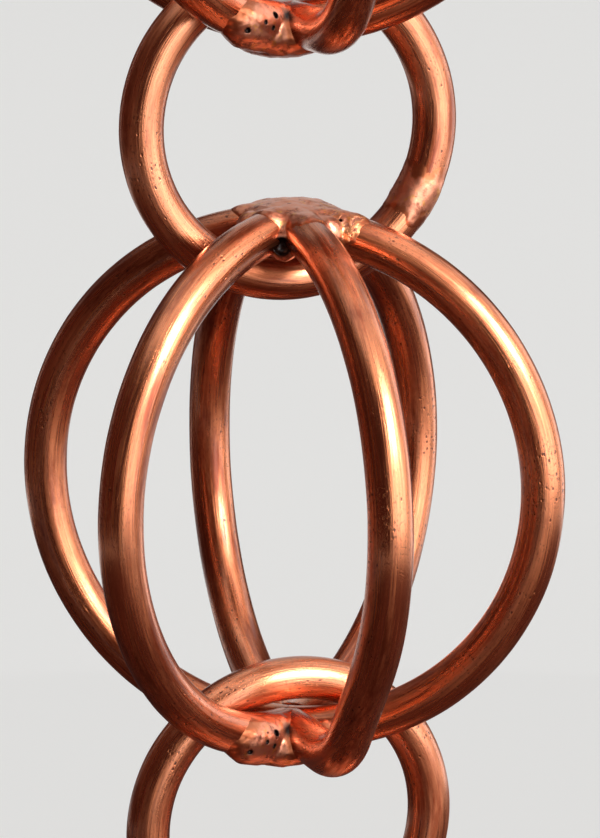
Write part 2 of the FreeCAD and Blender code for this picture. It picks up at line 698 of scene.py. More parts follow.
@dataclass(frozen=True)
class BarFinish:
    """Weathered copper bar: bright metal under a brown film, drawn lines along it and small pits."""

    name: str
    slot: str
    bright: Colour
    film: Colour
    dirt: Colour
    film_cover: float
    smooth: float
    rough: float
    pit_density: float
    coat: float
    coat_rough: float
    line_height: float
    grain_height: float
    pit_depth: float
    pit_stain: float = 0.85
    grain_stain: float = 0.55
    streak_floor: float = 0.35
    line_shade: float = 0.30
    band_wear: float = 0.4
    line_wear: float = 0.3
    streak_wear: float = 0.3
    dirt_rough: float = 0.6

    def material(self) -> bpy.types.Material:
        """Makes the finish.

        Returns:
            Its material.
        """
        material, board, shader = new_material(self.name)
        place = board.attribute(STRAIGHT, "Vector")
        drawn = add_effect(board, Effect.DRAWN_GRAIN, {"Place": place})
        film = add_effect(board, Effect.BROWN_FILM, {"Place": place, "Cover": self.film_cover})
        pitting = add_effect(board, Effect.PITTING, {"Place": place, "Density": self.pit_density})
        lines, bands = drawn.outputs["Lines"], drawn.outputs["Bands"]
        pits, grains = pitting.outputs["Pits"], pitting.outputs["Grains"]
        banded = board.spread(bands, to_low=self.streak_floor)
        streaks = board.math("MULTIPLY", film.outputs["Film"], banded)
        skin = board.blend(streaks, self.bright, self.film)
        lined = board.blend(board.spread(lines, to_low=self.line_shade, to_high=0.0), skin, self.film)
        pit_stain = board.math("MULTIPLY", pits, self.pit_stain)
        grain_stain = board.math("MULTIPLY", grains, self.grain_stain)
        dirty = board.math("MAXIMUM", pit_stain, grain_stain)
        dull = board.weigh((bands, self.band_wear), (lines, self.line_wear), (streaks, self.streak_wear))
        sheen = board.spread(dull, to_low=self.smooth, to_high=self.rough)
        relief = board.bump(lines, self.line_height)
        relief = board.bump(board.math("SUBTRACT", 1.0, grains), self.grain_height, relief)
        relief = board.bump(board.math("SUBTRACT", 1.0, pits), self.pit_depth, relief)
        board.feed(shader, {
            "Base Color": board.blend(dirty, lined, self.dirt),
            "Roughness": board.math("MAXIMUM", sheen, board.math("MULTIPLY", dirty, self.dirt_rough)),
            "Metallic": 1.0,
            "Coat Weight": self.coat,
            "Coat Roughness": self.coat_rough,
            "Normal": relief,
        })
        return material


@dataclass(frozen=True)
class BrazeFinish:
    """Brazed metal: copper pink with patches of gold filler, dark scale in the hollows, a grainy skin, and
    shade painted black in its holes and crotch.
    """

    name: str
    slot: str
    pink: Colour
    gold: Colour
    scale: Colour
    # The colour of the shade painted into the holes and the crotch spot
    soot: Colour
    run_out: Colour
    scale_cover: float
    smooth: float
    rough: float
    coat: float
    coat_rough: float
    grain_height: float
    patch_scale: float = 650.0
    crumb_scale: float = 1350.0
    film_scale: float = 420.0
    pit_scale: float = 1200.0
    pit_cluster: float = 240.0
    pit_density: float = 0.6
    grain_scale: float = 1700.0
    edge_break: float = 0.9
    gap_stain: float = 0.9
    dirt_wear: float = 0.6
    grain_wear: float = 0.4
    crumb_height: float = 3.0

    def material(self) -> bpy.types.Material:
        """Makes the finish.

        Returns:
            Its material.
        """
        material, board, shader = new_material(self.name)
        place = board.node("ShaderNodeTexCoord").outputs["Object"]
        # The first attribute marks the holes and the crotch spot, where shade is painted black
        soot, filler, thin = [board.attribute(name) for name in (PAINTED_SHADE, FILLER, THIN)]
        cloud = board.noise(place, self.patch_scale, detail=4.0, rough=0.65)
        broken_edge = board.math("MULTIPLY_ADD", cloud, self.edge_break, thin)
        thick = board.spread(broken_edge, low=0.60, high=1.15, to_low=1.0, to_high=0.0)
        crumbly = board.noise(place, self.crumb_scale, detail=2.0, rough=0.55)
        crumbs = board.math("MULTIPLY", filler, board.spread(crumbly, low=0.46, high=0.58))
        between = board.spread(crumbly, low=0.40, high=0.52, to_low=self.gap_stain, to_high=0.0)
        gaps = board.math("MULTIPLY", filler, between)
        patches = board.math("MAXIMUM", crumbs, board.spread(cloud, low=0.56, high=0.65))
        metal = board.blend(patches, self.pink, self.gold)
        film = add_effect(board, Effect.BROWN_FILM, {
            "Place": place,
            "Cloud Scale": self.film_scale,
            "Length": (1.0, 1.0, 1.0),
            "Cover": self.scale_cover,
        })
        pitting = add_effect(board, Effect.PITTING, {
            "Place": place,
            "Pit Scale": self.pit_scale,
            "Cluster Scale": self.pit_cluster,
            "Density": self.pit_density,
        })
        pits = pitting.outputs["Pits"]
        film_left = board.math("SUBTRACT", film.outputs["Film"], crumbs, clamp=True)
        dirty = board.math("MAXIMUM", board.math("MAXIMUM", film_left, pits), gaps)
        skin = board.blend(thick, self.run_out, board.blend(dirty, metal, self.scale))
        grain = board.noise(place, self.grain_scale, detail=5.0, rough=0.65)
        # The painted shade counts with the dirt towards a duller skin
        dirt_and_painted_shade = board.math("MAXIMUM", dirty, soot)
        dull = board.weigh((dirt_and_painted_shade, self.dirt_wear), (grain, self.grain_wear))
        worn = board.math("MULTIPLY", dull, thick)
        lumps = board.math("MULTIPLY_ADD", crumbs, self.crumb_height, grain)
        height = board.math("MULTIPLY", board.math("SUBTRACT", lumps, pits), thick)
        # Base colour: the skin, with shade painted black in the holes and the crotch spot
        board.feed(shader, {
            "Base Color": board.blend(soot, skin, self.soot),
            "Roughness": board.spread(worn, to_low=self.smooth, to_high=self.rough),
            "Metallic": 1.0,
            "Coat Weight": self.coat,
            "Coat Roughness": self.coat_rough,
            "Normal": board.bump(height, self.grain_height),
        })
        return material


CAGE_COPPER = BarFinish(
    name="cage_copper",
    slot="cage_copper",
    bright=(0.80, 0.265, 0.112, 1.0),
    film=(0.26, 0.048, 0.014, 1.0),
    dirt=(0.075, 0.014, 0.005, 1.0),
    film_cover=0.47,
    smooth=0.20,
    rough=0.44,
    pit_density=0.55,
    coat=0.80,
    coat_rough=0.20,
    line_height=0.018 * MM,
    grain_height=0.012 * MM,
    pit_depth=0.045 * MM,
)
RING_COPPER = BarFinish(
    name="ring_copper",
    slot="ring_copper",
    bright=(0.82, 0.285, 0.130, 1.0),
    film=(0.30, 0.058, 0.019, 1.0),
    dirt=(0.085, 0.017, 0.006, 1.0),
    film_cover=0.44,
    smooth=0.22,
    rough=0.46,
    pit_density=0.65,
    coat=0.80,
    coat_rough=0.20,
    line_height=0.018 * MM,
    grain_height=0.014 * MM,
    pit_depth=0.05 * MM,
)
BRAZE_METAL = BrazeFinish(
    name="braze_metal",
    slot="braze_metal",
    pink=(0.80, 0.315, 0.185, 1.0),
    gold=(0.86, 0.380, 0.120, 1.0),
    scale=(0.150, 0.032, 0.013, 1.0),
    # The colour of the painted shade in the holes and the crotch spot
    soot=(0.020, 0.007, 0.005, 1.0),
    run_out=(0.52, 0.150, 0.058, 1.0),
    scale_cover=0.40,
    smooth=0.34,
    rough=0.62,
    coat=0.45,
    coat_rough=0.26,
    grain_height=0.040 * MM,
)


# The chain's sub-assemblies

@dataclass
class Piece:
    """One modelled mesh with what it stands for and how it is finished."""

    mesh: bpy.types.Object
    part: str
    stands_for: str
    finish: Union[BarFinish, BrazeFinish]


@dataclass
class Ring:
    """A ring link: bar bent to a circle in the XZ plane and closed by a brazed seam."""

    centre: Vector
    radius: float
    bar: Bar
    seam_clock: float = -30.0
    bead_length: float = 12 * MM
    bead_swell: float = 0.18 * MM
    bead_sink: float = 0.14 * MM
    bead_steps: int = 16
    lump_size: float = 2.2 * MM
    lump_height: float = 0.30 * MM
    feather: float = 0.12 * MM
    pieces: list[Piece] = field(default_factory=list)

    @property
    def to_seam(self) -> Vector:
        """The direction from the ring's centre to its seam."""
        turn = math.radians(self.seam_clock)
        return Vector((math.cos(turn), 0.0, math.sin(turn)))

    @property
    def past_seam(self) -> Vector:
        """The direction in which the bar runs on from the seam."""
        turn = math.radians(self.seam_clock)
        return Vector((-math.sin(turn), 0.0, math.cos(turn)))

    @property
    def axis(self) -> Vector:
        """The axis of the turn from the seam onwards."""
        return self.to_seam.cross(self.past_seam)

    def build(self) -> None:
        """Models the ring's bar and the bead of its seam."""
        bar = self.bar.section("ring_bar", self.centre + self.radius * self.to_seam, self.past_seam)
        with editing(bar):
            self.bar.bend(2 * math.pi, self.radius, self.centre, self.axis)
        self.bar.finish(bar)
        lay_straight(bar, self.centre, -self.past_seam, -self.to_seam, self.radius)
        self.pieces.append(Piece(bar, "ring_bar", "ring", RING_COPPER))
        self.pieces.append(Piece(self.build_bead(), "ring_bead", "ring_seam", BRAZE_METAL))

    def build_bead(self) -> bpy.types.Object:
        """Models the low bead of braze round the seam, which dips under the bar at both ends.

        Returns:
            The bead.
        """
        half_turn = self.bead_length / 2 / self.radius
        turn = 2 * half_turn / self.bead_steps
        start = Matrix.Rotation(-half_turn, 3, self.axis) @ self.to_seam
        spots = []
        radii = []
        for step in range(self.bead_steps + 1):
            spots.append(self.centre + self.radius * (Matrix.Rotation(step * turn, 3, self.axis) @ start))
            share = 1 - abs(2 * step / self.bead_steps - 1)
            rise = (self.bead_swell + self.bead_sink) * math.sin(share * math.pi / 2)
            radii.append(self.bar.radius - self.bead_sink + rise)

        def draw_on() -> None:
            """Draws the bead on by one step round the ring."""
            bpy.ops.mesh.spin(steps=1, angle=turn, center=self.centre, axis=-self.axis)

        bead = self.bar.section("ring_bead", spots[0], self.axis.cross(start))
        with editing(bead):
            self.bar.taper(spots, radii, draw_on)
        close_mesh(bead)
        refine = bead.modifiers.new("refine", "SUBSURF")
        refine.levels = refine.render_levels = 1
        add_unevenness(bead, "bead_lumps", self.lump_size, self.lump_height)
        apply_modifiers(bead)
        mark_thin(bead, self.height_over, self.feather)
        bead.data.shade_smooth()
        return bead

    def height_over(self, spot: Vector) -> float:
        """Gives the height of a point over the skin of the ring's bar.

        Args:
            spot: the point.

        Returns:
            The height, below 0 inside the bar.
        """
        spoke = spot - self.centre
        aside = spoke.dot(self.axis)
        out = (spoke - aside * self.axis).length
        return math.hypot(out - self.radius, aside) - self.bar.radius


@dataclass(frozen=True)
class Crust:
    """How the braze lies on one arm of a crown.

    It reaches so far from the pole, is set off outwards by its lift and away from the ring by its lean, and
    its radius differs from the bar's by its swell. Past the full share of its reach it dips under the bar.
    """

    reach: float
    lift: float
    lean: float
    swell: float = -0.05 * MM
    full: float = 0.72
    sink: float = 0.25 * MM

    def radius_at(self, share: float, bar_radius: float) -> float:
        """Gives the crust's radius at a share of its reach.

        Args:
            share: from 0 at the pole to 1 at the crust's end.
            bar_radius: the radius of the bar under it.

        Returns:
            The radius, full at first and then eased down until the crust is under the bar.
        """
        tail = max(0.0, share - self.full) / (1 - self.full)
        ease = tail * tail * (3 - 2 * tail)
        end_radius = bar_radius - math.hypot(self.lift, self.lean) - self.sink
        return (1 - ease) * (bar_radius + self.swell) + ease * end_radius

    def offset(self, pole: Pole, outward: Vector) -> Vector:
        """Gives the way from an arm's centre line to the crust's own.

        Args:
            pole: the pole that the arm leaves.
            outward: the arm's level direction.

        Returns:
            The offset, outwards from the cage and away from the ring.
        """
        away = math.copysign(self.lean, outward.y) * Vector((0.0, 1.0, 0.0))
        return self.lift * pole.value * UP + away


@dataclass(frozen=True)
class Pool:
    """The pool of filler over a pole, with its shift from the axis towards a heading."""

    radius: float
    depth: float
    lift: float
    heading: float
    shift: float


@dataclass(frozen=True)
class Blowhole:
    """A small round hole that gas left in the braze, by its place along an arm and round it; shade is painted
    black inside it.
    """

    arc: Arc
    along: float
    clock: float
    radius: float


@dataclass(frozen=True)
class Crotch:
    """The black spot in the crotch between the left and front arms, where shade is painted black.

    It lies so far along from the pole and is sunk so far towards the cage's centre. Where there is a backing,
    the spot is a hole in a ball of filler of that radius.
    """

    along: float
    sink: float
    radius: float
    backing: float = 0.0


@dataclass(frozen=True)
class Spot:
    """A round place in the braze."""

    centre: Vector
    radius: float


LUMP_HEIGHT = {Pole.TOP: 0.70 * MM, Pole.BOTTOM: 0.50 * MM}
FEATHER = {Pole.TOP: 0.20 * MM, Pole.BOTTOM: 1.20 * MM}
CROTCHES = {
    Pole.TOP: Crotch(along=8.1 * MM, sink=0.7 * MM, radius=1.30 * MM, backing=2.45 * MM),
    Pole.BOTTOM: Crotch(along=6.35 * MM, sink=0.0, radius=1.65 * MM),
}
CRUSTS = {
    Pole.TOP: {
        Arc.LEFT: Crust(reach=7.0 * MM, lift=0.34 * MM, lean=0.10 * MM),
        Arc.FRONT: Crust(reach=10.5 * MM, lift=0.30 * MM, lean=0.0),
        Arc.HOOP_FRONT: Crust(reach=13.0 * MM, lift=0.30 * MM, lean=0.22 * MM),
        Arc.RIGHT: Crust(reach=9.0 * MM, lift=0.34 * MM, lean=0.10 * MM),
        Arc.BACK: Crust(reach=10.0 * MM, lift=0.34 * MM, lean=0.0),
        Arc.HOOP_BACK: Crust(reach=9.0 * MM, lift=0.34 * MM, lean=0.10 * MM),
    },
    Pole.BOTTOM: {
        Arc.LEFT: Crust(reach=17.5 * MM, lift=0.55 * MM, lean=1.15 * MM, swell=0.55 * MM, full=0.60),
        Arc.FRONT: Crust(reach=6.0 * MM, lift=0.30 * MM, lean=0.0, swell=-0.12 * MM),
        Arc.HOOP_FRONT: Crust(reach=8.0 * MM, lift=0.30 * MM, lean=0.10 * MM),
        Arc.RIGHT: Crust(reach=10.0 * MM, lift=0.34 * MM, lean=0.10 * MM),
        Arc.BACK: Crust(reach=9.0 * MM, lift=0.34 * MM, lean=0.0),
        Arc.HOOP_BACK: Crust(reach=10.0 * MM, lift=0.30 * MM, lean=0.10 * MM),
    },
}
POOLS = {
    Pole.TOP: Pool(radius=8.2 * MM, depth=3.4 * MM, lift=0.5 * MM, heading=152.0, shift=1.6 * MM),
    Pole.BOTTOM: Pool(radius=7.6 * MM, depth=3.7 * MM, lift=1.2 * MM, heading=-52.0, shift=2.4 * MM),
}
BLOWHOLES = {
    Pole.TOP: (Blowhole(Arc.HOOP_FRONT, along=7.6 * MM, clock=-48.0, radius=0.28 * MM),),
    Pole.BOTTOM: (
        Blowhole(Arc.LEFT, along=8.4 * MM, clock=115.0, radius=0.52 * MM),
        Blowhole(Arc.LEFT, along=8.95 * MM, clock=86.0, radius=0.36 * MM),
        Blowhole(Arc.LEFT, along=10.6 * MM, clock=94.0, radius=0.32 * MM),
        Blowhole(Arc.LEFT, along=12.9 * MM, clock=59.0, radius=0.40 * MM),
        Blowhole(Arc.RIGHT, along=6.5 * MM, clock=15.0, radius=0.50 * MM),
    ),
}


@dataclass
class Cage:
    """A ball-shaped cage: one hoop, four ribs and the brazed crowns that join them at both poles."""

    centre: Vector
    radius: float
    bar: Bar
    foot_start: float = 125.0
    foot_radius: float = 12 * MM
    end_room: float = 1.4 * MM
    crown_voxel: float = 0.28 * MM
    fillet_radius: float = 2.4 * MM
    fillet_lift: float = 0.6 * MM
    pool_segments: int = 48
    flow_rounds: int = 3
    lump_size: float = 3.4 * MM
    grain_size: float = 1.1 * MM
    grain_height: float = 0.16 * MM
    hole_depth: float = 0.35
    hole_roundness: int = 3
    set_back: float = 0.9
    filler_radius: float = 2.9 * MM
    filler_steps: tuple[float, ...] = (7 * MM, 9.5 * MM, 12 * MM)
    mark_reach: float = 1.35
    mark_edge: float = 3.0
    pieces: list[Piece] = field(default_factory=list)

    def build(self) -> None:
        """Models the hoop, the ribs and the crowns."""
        self.pieces.append(Piece(self.build_hoop(), "hoop_bar", "cage_hoop", CAGE_COPPER))
        for arc in (Arc.LEFT, Arc.FRONT, Arc.RIGHT, Arc.BACK):
            side = arc.name.lower()
            rib = self.build_rib(arc, footed=arc is Arc.FRONT)
            self.pieces.append(Piece(rib, f"{side}_bar", f"cage_{side}_rib", CAGE_COPPER))
        for pole in Pole:
            end = pole.name.lower()
            crown = self.build_crown(pole)
            self.pieces.append(Piece(crown, f"{end}_crown", f"cage_{end}_braze", BRAZE_METAL))

    def arm_point(self, pole: Pole, outward: Vector, length: float) -> Vector:
        """Gives the point at a length along an arm from a pole.

        Args:
            pole: the pole that the arm leaves.
            outward: the arm's level direction.
            length: the length along its arc.

        Returns:
            The point on the arm's centre line.
        """
        turn = length / self.radius
        return self.centre + self.radius * (math.sin(turn) * outward + pole.value * math.cos(turn) * UP)

    def height_over(self, pole: Pole, spot: Vector) -> float:
        """Gives the height of a point over the skin of the arms that leave a pole.

        Args:
            pole: the pole that the arms leave.
            spot: the point.

        Returns:
            The height, below 0 inside an arm.
        """
        spoke = spot - self.centre
        heights = []
        for arc in Arc:
            out, aside = spoke.dot(arc.outward), spoke.dot(UP.cross(arc.outward))
            rise = pole.value * spoke.z
            if out < 0:
                reach = math.hypot(out, rise - self.radius)
            elif arc is Arc.FRONT and pole is Pole.BOTTOM:
                reach = rise - self.radius
            else:
                reach = math.hypot(out, rise) - self.radius
            heights.append(math.hypot(reach, aside) - self.bar.radius)
        return min(heights)

    def build_hoop(self) -> bpy.types.Object:
        """Bends the hoop, all the way round from the lower pole.

        Returns:
            The hoop's bar.
        """
        outward = Arc.HOOP_FRONT.outward
        hoop = self.bar.section("hoop_bar", self.centre - self.radius * UP, -outward)
        with editing(hoop):
            self.bar.bend(2 * math.pi, self.radius, self.centre, UP.cross(outward))
        self.bar.finish(hoop)
        lay_straight(hoop, self.centre, outward, UP, self.radius)
        return hoop

    def build_rib(self, arc: Arc, footed: bool) -> bpy.types.Object:
        """Bends a rib from its upper pole to its lower one.

        Args:
            arc: the rib's heading.
            footed: whether its lower end runs straight and turns in on a tight bend.

        Returns:
            The rib's bar, whose ends are inside the hoop.
        """
        outward = arc.outward
        axis = UP.cross(outward)
        first = self.end_room / self.radius
        start = Matrix.Rotation(first, 3, axis) @ UP
        spot = self.centre + self.radius * start
        rib = self.bar.section(f"{arc.name.lower()}_bar", spot, axis.cross(start))
        with editing(rib):
            if footed:
                self.bend_foot(outward, axis, first)
            else:
                self.bar.bend(math.pi - 2 * first, self.radius, self.centre, axis)
        self.bar.finish(rib)
        lay_straight(rib, self.centre, outward, UP, self.radius)
        return rib

    def bend_foot(self, outward: Vector, axis: Vector, first: float) -> None:
        """Bends a footed rib in edit mode: the circle, a straight run, a tight bend and a level foot.

        Args:
            outward: the rib's level direction.
            axis: the axis of its bends.
            first: the turn at which the rib starts, in radians.
        """
        leave = math.radians(self.foot_start)
        self.bar.bend(leave - first, self.radius, self.centre, axis)
        straight = (self.radius - self.foot_radius) * math.tan((math.pi - leave) / 2)
        self.bar.run(straight * (math.cos(leave) * outward - math.sin(leave) * UP))
        bend_centre = self.centre + straight * outward - (self.radius - self.foot_radius) * UP
        self.bar.bend(math.pi - leave, self.foot_radius, bend_centre, axis)
        self.bar.run((self.end_room - straight) * outward)

    def build_crown(self, pole: Pole) -> bpy.types.Object:
        """Models the brazed crown of a pole: a crust on all six arms, run together in a pool of filler.

        Args:
            pole: the pole that the crown joins.

        Returns:
            The crown.
        """
        lumps = [self.crown_crust(pole, arc, crust) for arc, crust in CRUSTS[pole].items()]
        lumps.append(self.crown_pool(pole))
        lumps += self.crown_fillets(pole)
        dark_spots = [*self.hole_spots(pole), self.crotch_spot(pole)]
        holes = dark_spots[:-1]
        if CROTCHES[pole].backing:
            lumps.append(self.crotch_filler(pole))
            holes = dark_spots
        crown = join_pieces(lumps)
        crown.name = f"{pole.name.lower()}_crown"
        union = crown.modifiers.new("union", "REMESH")
        union.mode = "VOXEL"
        union.voxel_size = self.crown_voxel
        flow = crown.modifiers.new("flow", "SMOOTH")
        flow.iterations = self.flow_rounds
        add_unevenness(crown, "braze_lumps", self.lump_size, LUMP_HEIGHT[pole])
        add_unevenness(crown, "braze_grain", self.grain_size, self.grain_height)
        apply_modifiers(crown)
        self.cut_crown(crown, holes)
        # The holes and the crotch spot are marked to be painted black: painted shade
        self.mark_spots(crown, PAINTED_SHADE, dark_spots)
        self.mark_spots(crown, FILLER, self.filler_spots(pole))
        mark_thin(crown, lambda spot: self.height_over(pole, spot), FEATHER[pole])
        crown.data.shade_smooth()
        return crown

    def crown_crust(self, pole: Pole, arc: Arc, crust: Crust) -> bpy.types.Object:
        """Models the crust on one arm: about as thick as the bar, but set off from it on the outer side.

        Args:
            pole: the pole that the arm leaves.
            arc: the arm.
            crust: how the braze lies on it.

        Returns:
            The crust.
        """
        outward = arc.outward
        offset = crust.offset(pole, outward)
        level = arc is Arc.FRONT and pole is Pole.BOTTOM
        length = crust.reach / CRUST_STEPS
        start = self.arm_point(pole, outward, 0.0)
        spots = []
        radii = []
        for step in range(CRUST_STEPS + 1):
            along = step * length
            on_arm = start + along * outward if level else self.arm_point(pole, outward, along)
            spots.append(on_arm + offset)
            radii.append(crust.radius_at(step / CRUST_STEPS, self.bar.radius))

        def draw_on() -> None:
            """Draws the crust on by one step, along the level foot or round the cage."""
            if level:
                bpy.ops.mesh.extrude_region_move(TRANSFORM_OT_translate={"value": length * outward})
            else:
                axis = pole.value * UP.cross(outward)
                turn = length / self.radius
                bpy.ops.mesh.spin(steps=1, angle=turn, center=self.centre + offset, axis=-axis)

        stub = self.bar.section("crust", spots[0], outward)
        with editing(stub):
            self.bar.taper(spots, radii, draw_on)
        close_mesh(stub)
        return stub

    def crown_pool(self, pole: Pole) -> bpy.types.Object:
        """Models the pool of filler over the pole.

        Args:
            pole: the pole under the pool.

        Returns:
            The pool.
        """
        pool = POOLS[pole]
        on_arm = self.arm_point(pole, heading_direction(pool.heading), pool.shift)
        spot = on_arm + pool.lift * pole.value * UP
        return add_ball("pool", spot, pool.radius, self.pool_segments, pool.depth / pool.radius)

    def crown_fillets(self, pole: Pole) -> list[bpy.types.Object]:
        """Models the filler in the crotches between neighbouring arms, all but the one with the black spot.

        Args:
            pole: the pole where the arms meet.

        Returns:
            One lump for each of those crotches.
        """
        arms = sorted(Arc, key=lambda arc: arc.value)
        lumps = []
        for arm, following in zip(arms, arms[1:] + arms[:1]):
            if arm is Arc.LEFT:
                continue
            gap = (following.value - arm.value) % 360
            outward = heading_direction(arm.value + gap / 2)
            reach = self.bar.radius / math.sin(math.radians(gap / 2))
            spot = self.arm_point(pole, outward, reach) + self.fillet_lift * pole.value * UP
            lumps.append(add_ball("fillet", spot, self.fillet_radius))
        return lumps

    def hole_spots(self, pole: Pole) -> list[Spot]:
        """Finds where the blowholes of a crown lie.

        Args:
            pole: the crown's pole.

        Returns:
            The spot of each hole, a little under the skin of the braze.
        """
        spots = []
        for hole in BLOWHOLES[pole]:
            outward = hole.arc.outward
            crust = CRUSTS[pole][hole.arc]
            turn = math.radians(hole.clock)
            on_arm = self.arm_point(pole, outward, hole.along)
            spoke = (on_arm - self.centre).normalized()
            facing = math.cos(turn) * spoke + math.sin(turn) * UP.cross(outward)
            crust_radius = crust.radius_at(hole.along / crust.reach, self.bar.radius)
            skin = crust_radius - self.hole_depth * hole.radius
            spots.append(Spot(on_arm + crust.offset(pole, outward) + skin * facing, hole.radius))
        return spots

    def filler_spots(self, pole: Pole) -> list[Spot]:
        """Finds where the gold filler shows most, along the crust on the hoop's front arm.

        Args:
            pole: the crown's pole.

        Returns:
            The spots of the filler.
        """
        centres = [self.arm_point(pole, Arc.HOOP_FRONT.outward, along) for along in self.filler_steps]
        return [Spot(centre, self.filler_radius) for centre in centres]

    def crotch_spot(self, pole: Pole) -> Spot:
        """Finds the black spot in the crotch between the left and front arms.

        Args:
            pole: the pole that the arms leave.

        Returns:
            The spot.
        """
        crotch = CROTCHES[pole]
        on_arc = self.arm_point(pole, heading_direction(CROTCH_HEADING), crotch.along)
        return Spot(on_arc - crotch.sink * pole.value * UP, crotch.radius)

    def crotch_filler(self, pole: Pole) -> bpy.types.Object:
        """Models the ball of filler that lies back in the crotch, behind its hole.

        Args:
            pole: the pole that the crotch's arms leave.

        Returns:
            The ball.
        """
        backing = CROTCHES[pole].backing
        spot = self.crotch_spot(pole).centre - self.set_back * backing * heading_direction(CROTCH_HEADING)
        return add_ball("crotch_filler", spot, backing)

    def cut_crown(self, crown: bpy.types.Object, holes: list[Spot]) -> None:
        """Cuts the holes of a crown.

        Args:
            crown: the crown to cut.
            holes: the spots of its holes.
        """
        cutters = []
        for hole in holes:
            bpy.ops.object.select_all(action="DESELECT")
            bpy.ops.mesh.primitive_ico_sphere_add(
                subdivisions=self.hole_roundness,
                radius=hole.radius,
                location=hole.centre,
            )
            cutters.append(new_piece("hole"))
        cutter = join_pieces(cutters)
        cut = crown.modifiers.new("cut", "BOOLEAN")
        cut.operation = "DIFFERENCE"
        cut.solver = "EXACT"
        cut.object = cutter
        apply_modifiers(crown)
        bpy.data.objects.remove(cutter)
        clean_cut(crown)

    def mark_spots(self, crown: bpy.types.Object, name: str, spots: list[Spot]) -> None:
        """Stores how much each point of a crown belongs to the given spots, from 0 to 1.

        Args:
            crown: the crown.
            name: the name of the stored attribute.
            spots: the round places to mark, with a soft edge.
        """
        attribute = crown.data.attributes.new(name, "FLOAT", "POINT")
        for point, stored in zip(crown.data.vertices, attribute.data):
            nearest = min((point.co - spot.centre).length / spot.radius for spot in spots)
            stored.value = min(1.0, max(0.0, self.mark_edge * (self.mark_reach - nearest)))


@dataclass
class Link:
    """A ring and the cage that hangs in it."""

    name: LinkName
    pieces: list[Piece]
    pattern_shift: float = 0.0

    def settle(self) -> None:
        """Names the link's pieces, rides them on their bodies and hides the frame's parts that they stand
        for.
        """
        for piece in self.pieces:
            body = f"{self.name.value}_{piece.stands_for.split('_')[0]}"
            piece.mesh.name = f"{self.name.value}_{piece.part}"
            piece.mesh.data.name = piece.mesh.name
            shift_straight(piece.mesh, self.pattern_shift)
            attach(piece.mesh, body)
            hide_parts(f"{self.name.value}_{piece.stands_for}")
            LOG.info("%s: %d faces, rides on %s", piece.mesh.name, len(piece.mesh.data.polygons), body)

    def dress(self, materials: dict[str, bpy.types.Material]) -> None:
        """Gives every piece the material of its finish.

        Args:
            materials: the materials, by the names of their finishes.
        """
        for piece in self.pieces:
            piece.mesh.data.materials.clear()
            piece.mesh.data.materials.append(materials[piece.finish.name])

    def copy(self, name: LinkName, move: Vector, pattern_shift: float) -> "Link":
        """Copies the link to another place in the chain.

        Args:
            name: the copy's name.
            move: from this link to the copy.
            pattern_shift: how far the copy's pattern is moved along its bars.

        Returns:
            The copy, each piece with its own mesh.
        """
        pieces = []
        for piece in self.pieces:
            mesh = piece.mesh.copy()
            mesh.data = piece.mesh.data.copy()
            mesh.data.transform(Matrix.Translation(move))
            bpy.context.scene.collection.objects.link(mesh)
            pieces.append(Piece(mesh, piece.part, piece.stands_for, piece.finish))
        return Link(name, pieces, pattern_shift)


@dataclass
class Chain:
    """The whole length of chain: the middle link as modelled, and its copies above and below."""

    links: list[Link] = field(default_factory=list)

    def build(self) -> None:
        """Models the middle link from the frame's sizes and copies it to the other links."""
        ring_span = node_span("middle_ring")
        bar = Bar(radius=ring_span.y / 2)
        ring = Ring(node_centre("middle_ring"), ring_span.x / 2 - bar.radius, bar)
        cage = Cage(node_centre("middle_cage_hoop"), node_span("middle_cage_hoop").z / 2 - bar.radius, bar)
        for assembly in (ring, cage):
            assembly.build()
        middle = Link(LinkName.MIDDLE, ring.pieces + cage.pieces)
        self.links.append(middle)
        for number, name in enumerate((LinkName.UPPER, LinkName.LOWER), start=1):
            move = node_centre(f"{name.value}_cage_hoop") - cage.centre
            self.links.append(middle.copy(name, move, number * PATTERN_STEP))
        for link in self.links:
            link.settle()

    def dress(self) -> None:
        """Makes the finishes and gives each piece its own."""
        make_effects()
        materials = {finish.name: finish.material() for finish in (CAGE_COPPER, RING_COPPER, BRAZE_METAL)}
        for link in self.links:
            link.dress(materials)


# The studio

class Receives(Enum):
    """What a lamp lights, by the link state that it has with the floor. None links nothing."""

    ALL = None
    OBJECT = "EXCLUDE"
    FLOOR = "INCLUDE"


@dataclass(frozen=True)
class Softbox:
    """A soft lamp that faces the middle cage, placed by its turn to the right of the camera."""

    name: str
    turn: float
    elevation: float
    distance: float
    width: float
    height: float
    glow: float
    receives: Receives = Receives.OBJECT


@dataclass(frozen=True)
class DarkCard:
    """A dark card that stands on the floor to give the bars their dark sides, as for any bright metal."""

    name: str
    turn: float
    distance: float
    width: float
    height: float


SOFTBOXES = (
    Softbox("key_lamp", turn=52.0, elevation=13.0, distance=1.0, width=1.40, height=1.00, glow=2.15),
    Softbox("core_lamp", turn=47.0, elevation=32.0, distance=0.95, width=0.40, height=0.40, glow=17.0),
    Softbox("rim_lamp", turn=122.0, elevation=10.0, distance=0.64, width=0.30, height=0.90, glow=1.1),
    Softbox(
        "sky_lamp",
        turn=60.0,
        elevation=80.0,
        distance=8.0,
        width=10.0,
        height=10.0,
        glow=0.6,
        receives=Receives.ALL,
    ),
    Softbox(
        "floor_wash",
        turn=60.0,
        elevation=90.0,
        distance=20.0,
        width=60.0,
        height=60.0,
        glow=0.64,
        receives=Receives.FLOOR,
    ),
)
CARDS = (
    DarkCard("front_card", turn=-17.0, distance=0.60, width=0.51, height=0.90),
    DarkCard("left_card", turn=-63.0, distance=0.60, width=0.51, height=0.90),
    DarkCard("far_left_card", turn=-107.0, distance=0.60, width=0.46, height=0.90),
    DarkCard("back_left_card", turn=-150.0, distance=0.70, width=0.44, height=0.90),
    DarkCard("far_right_card", turn=150.0, distance=0.70, width=0.40, height=0.90),
)


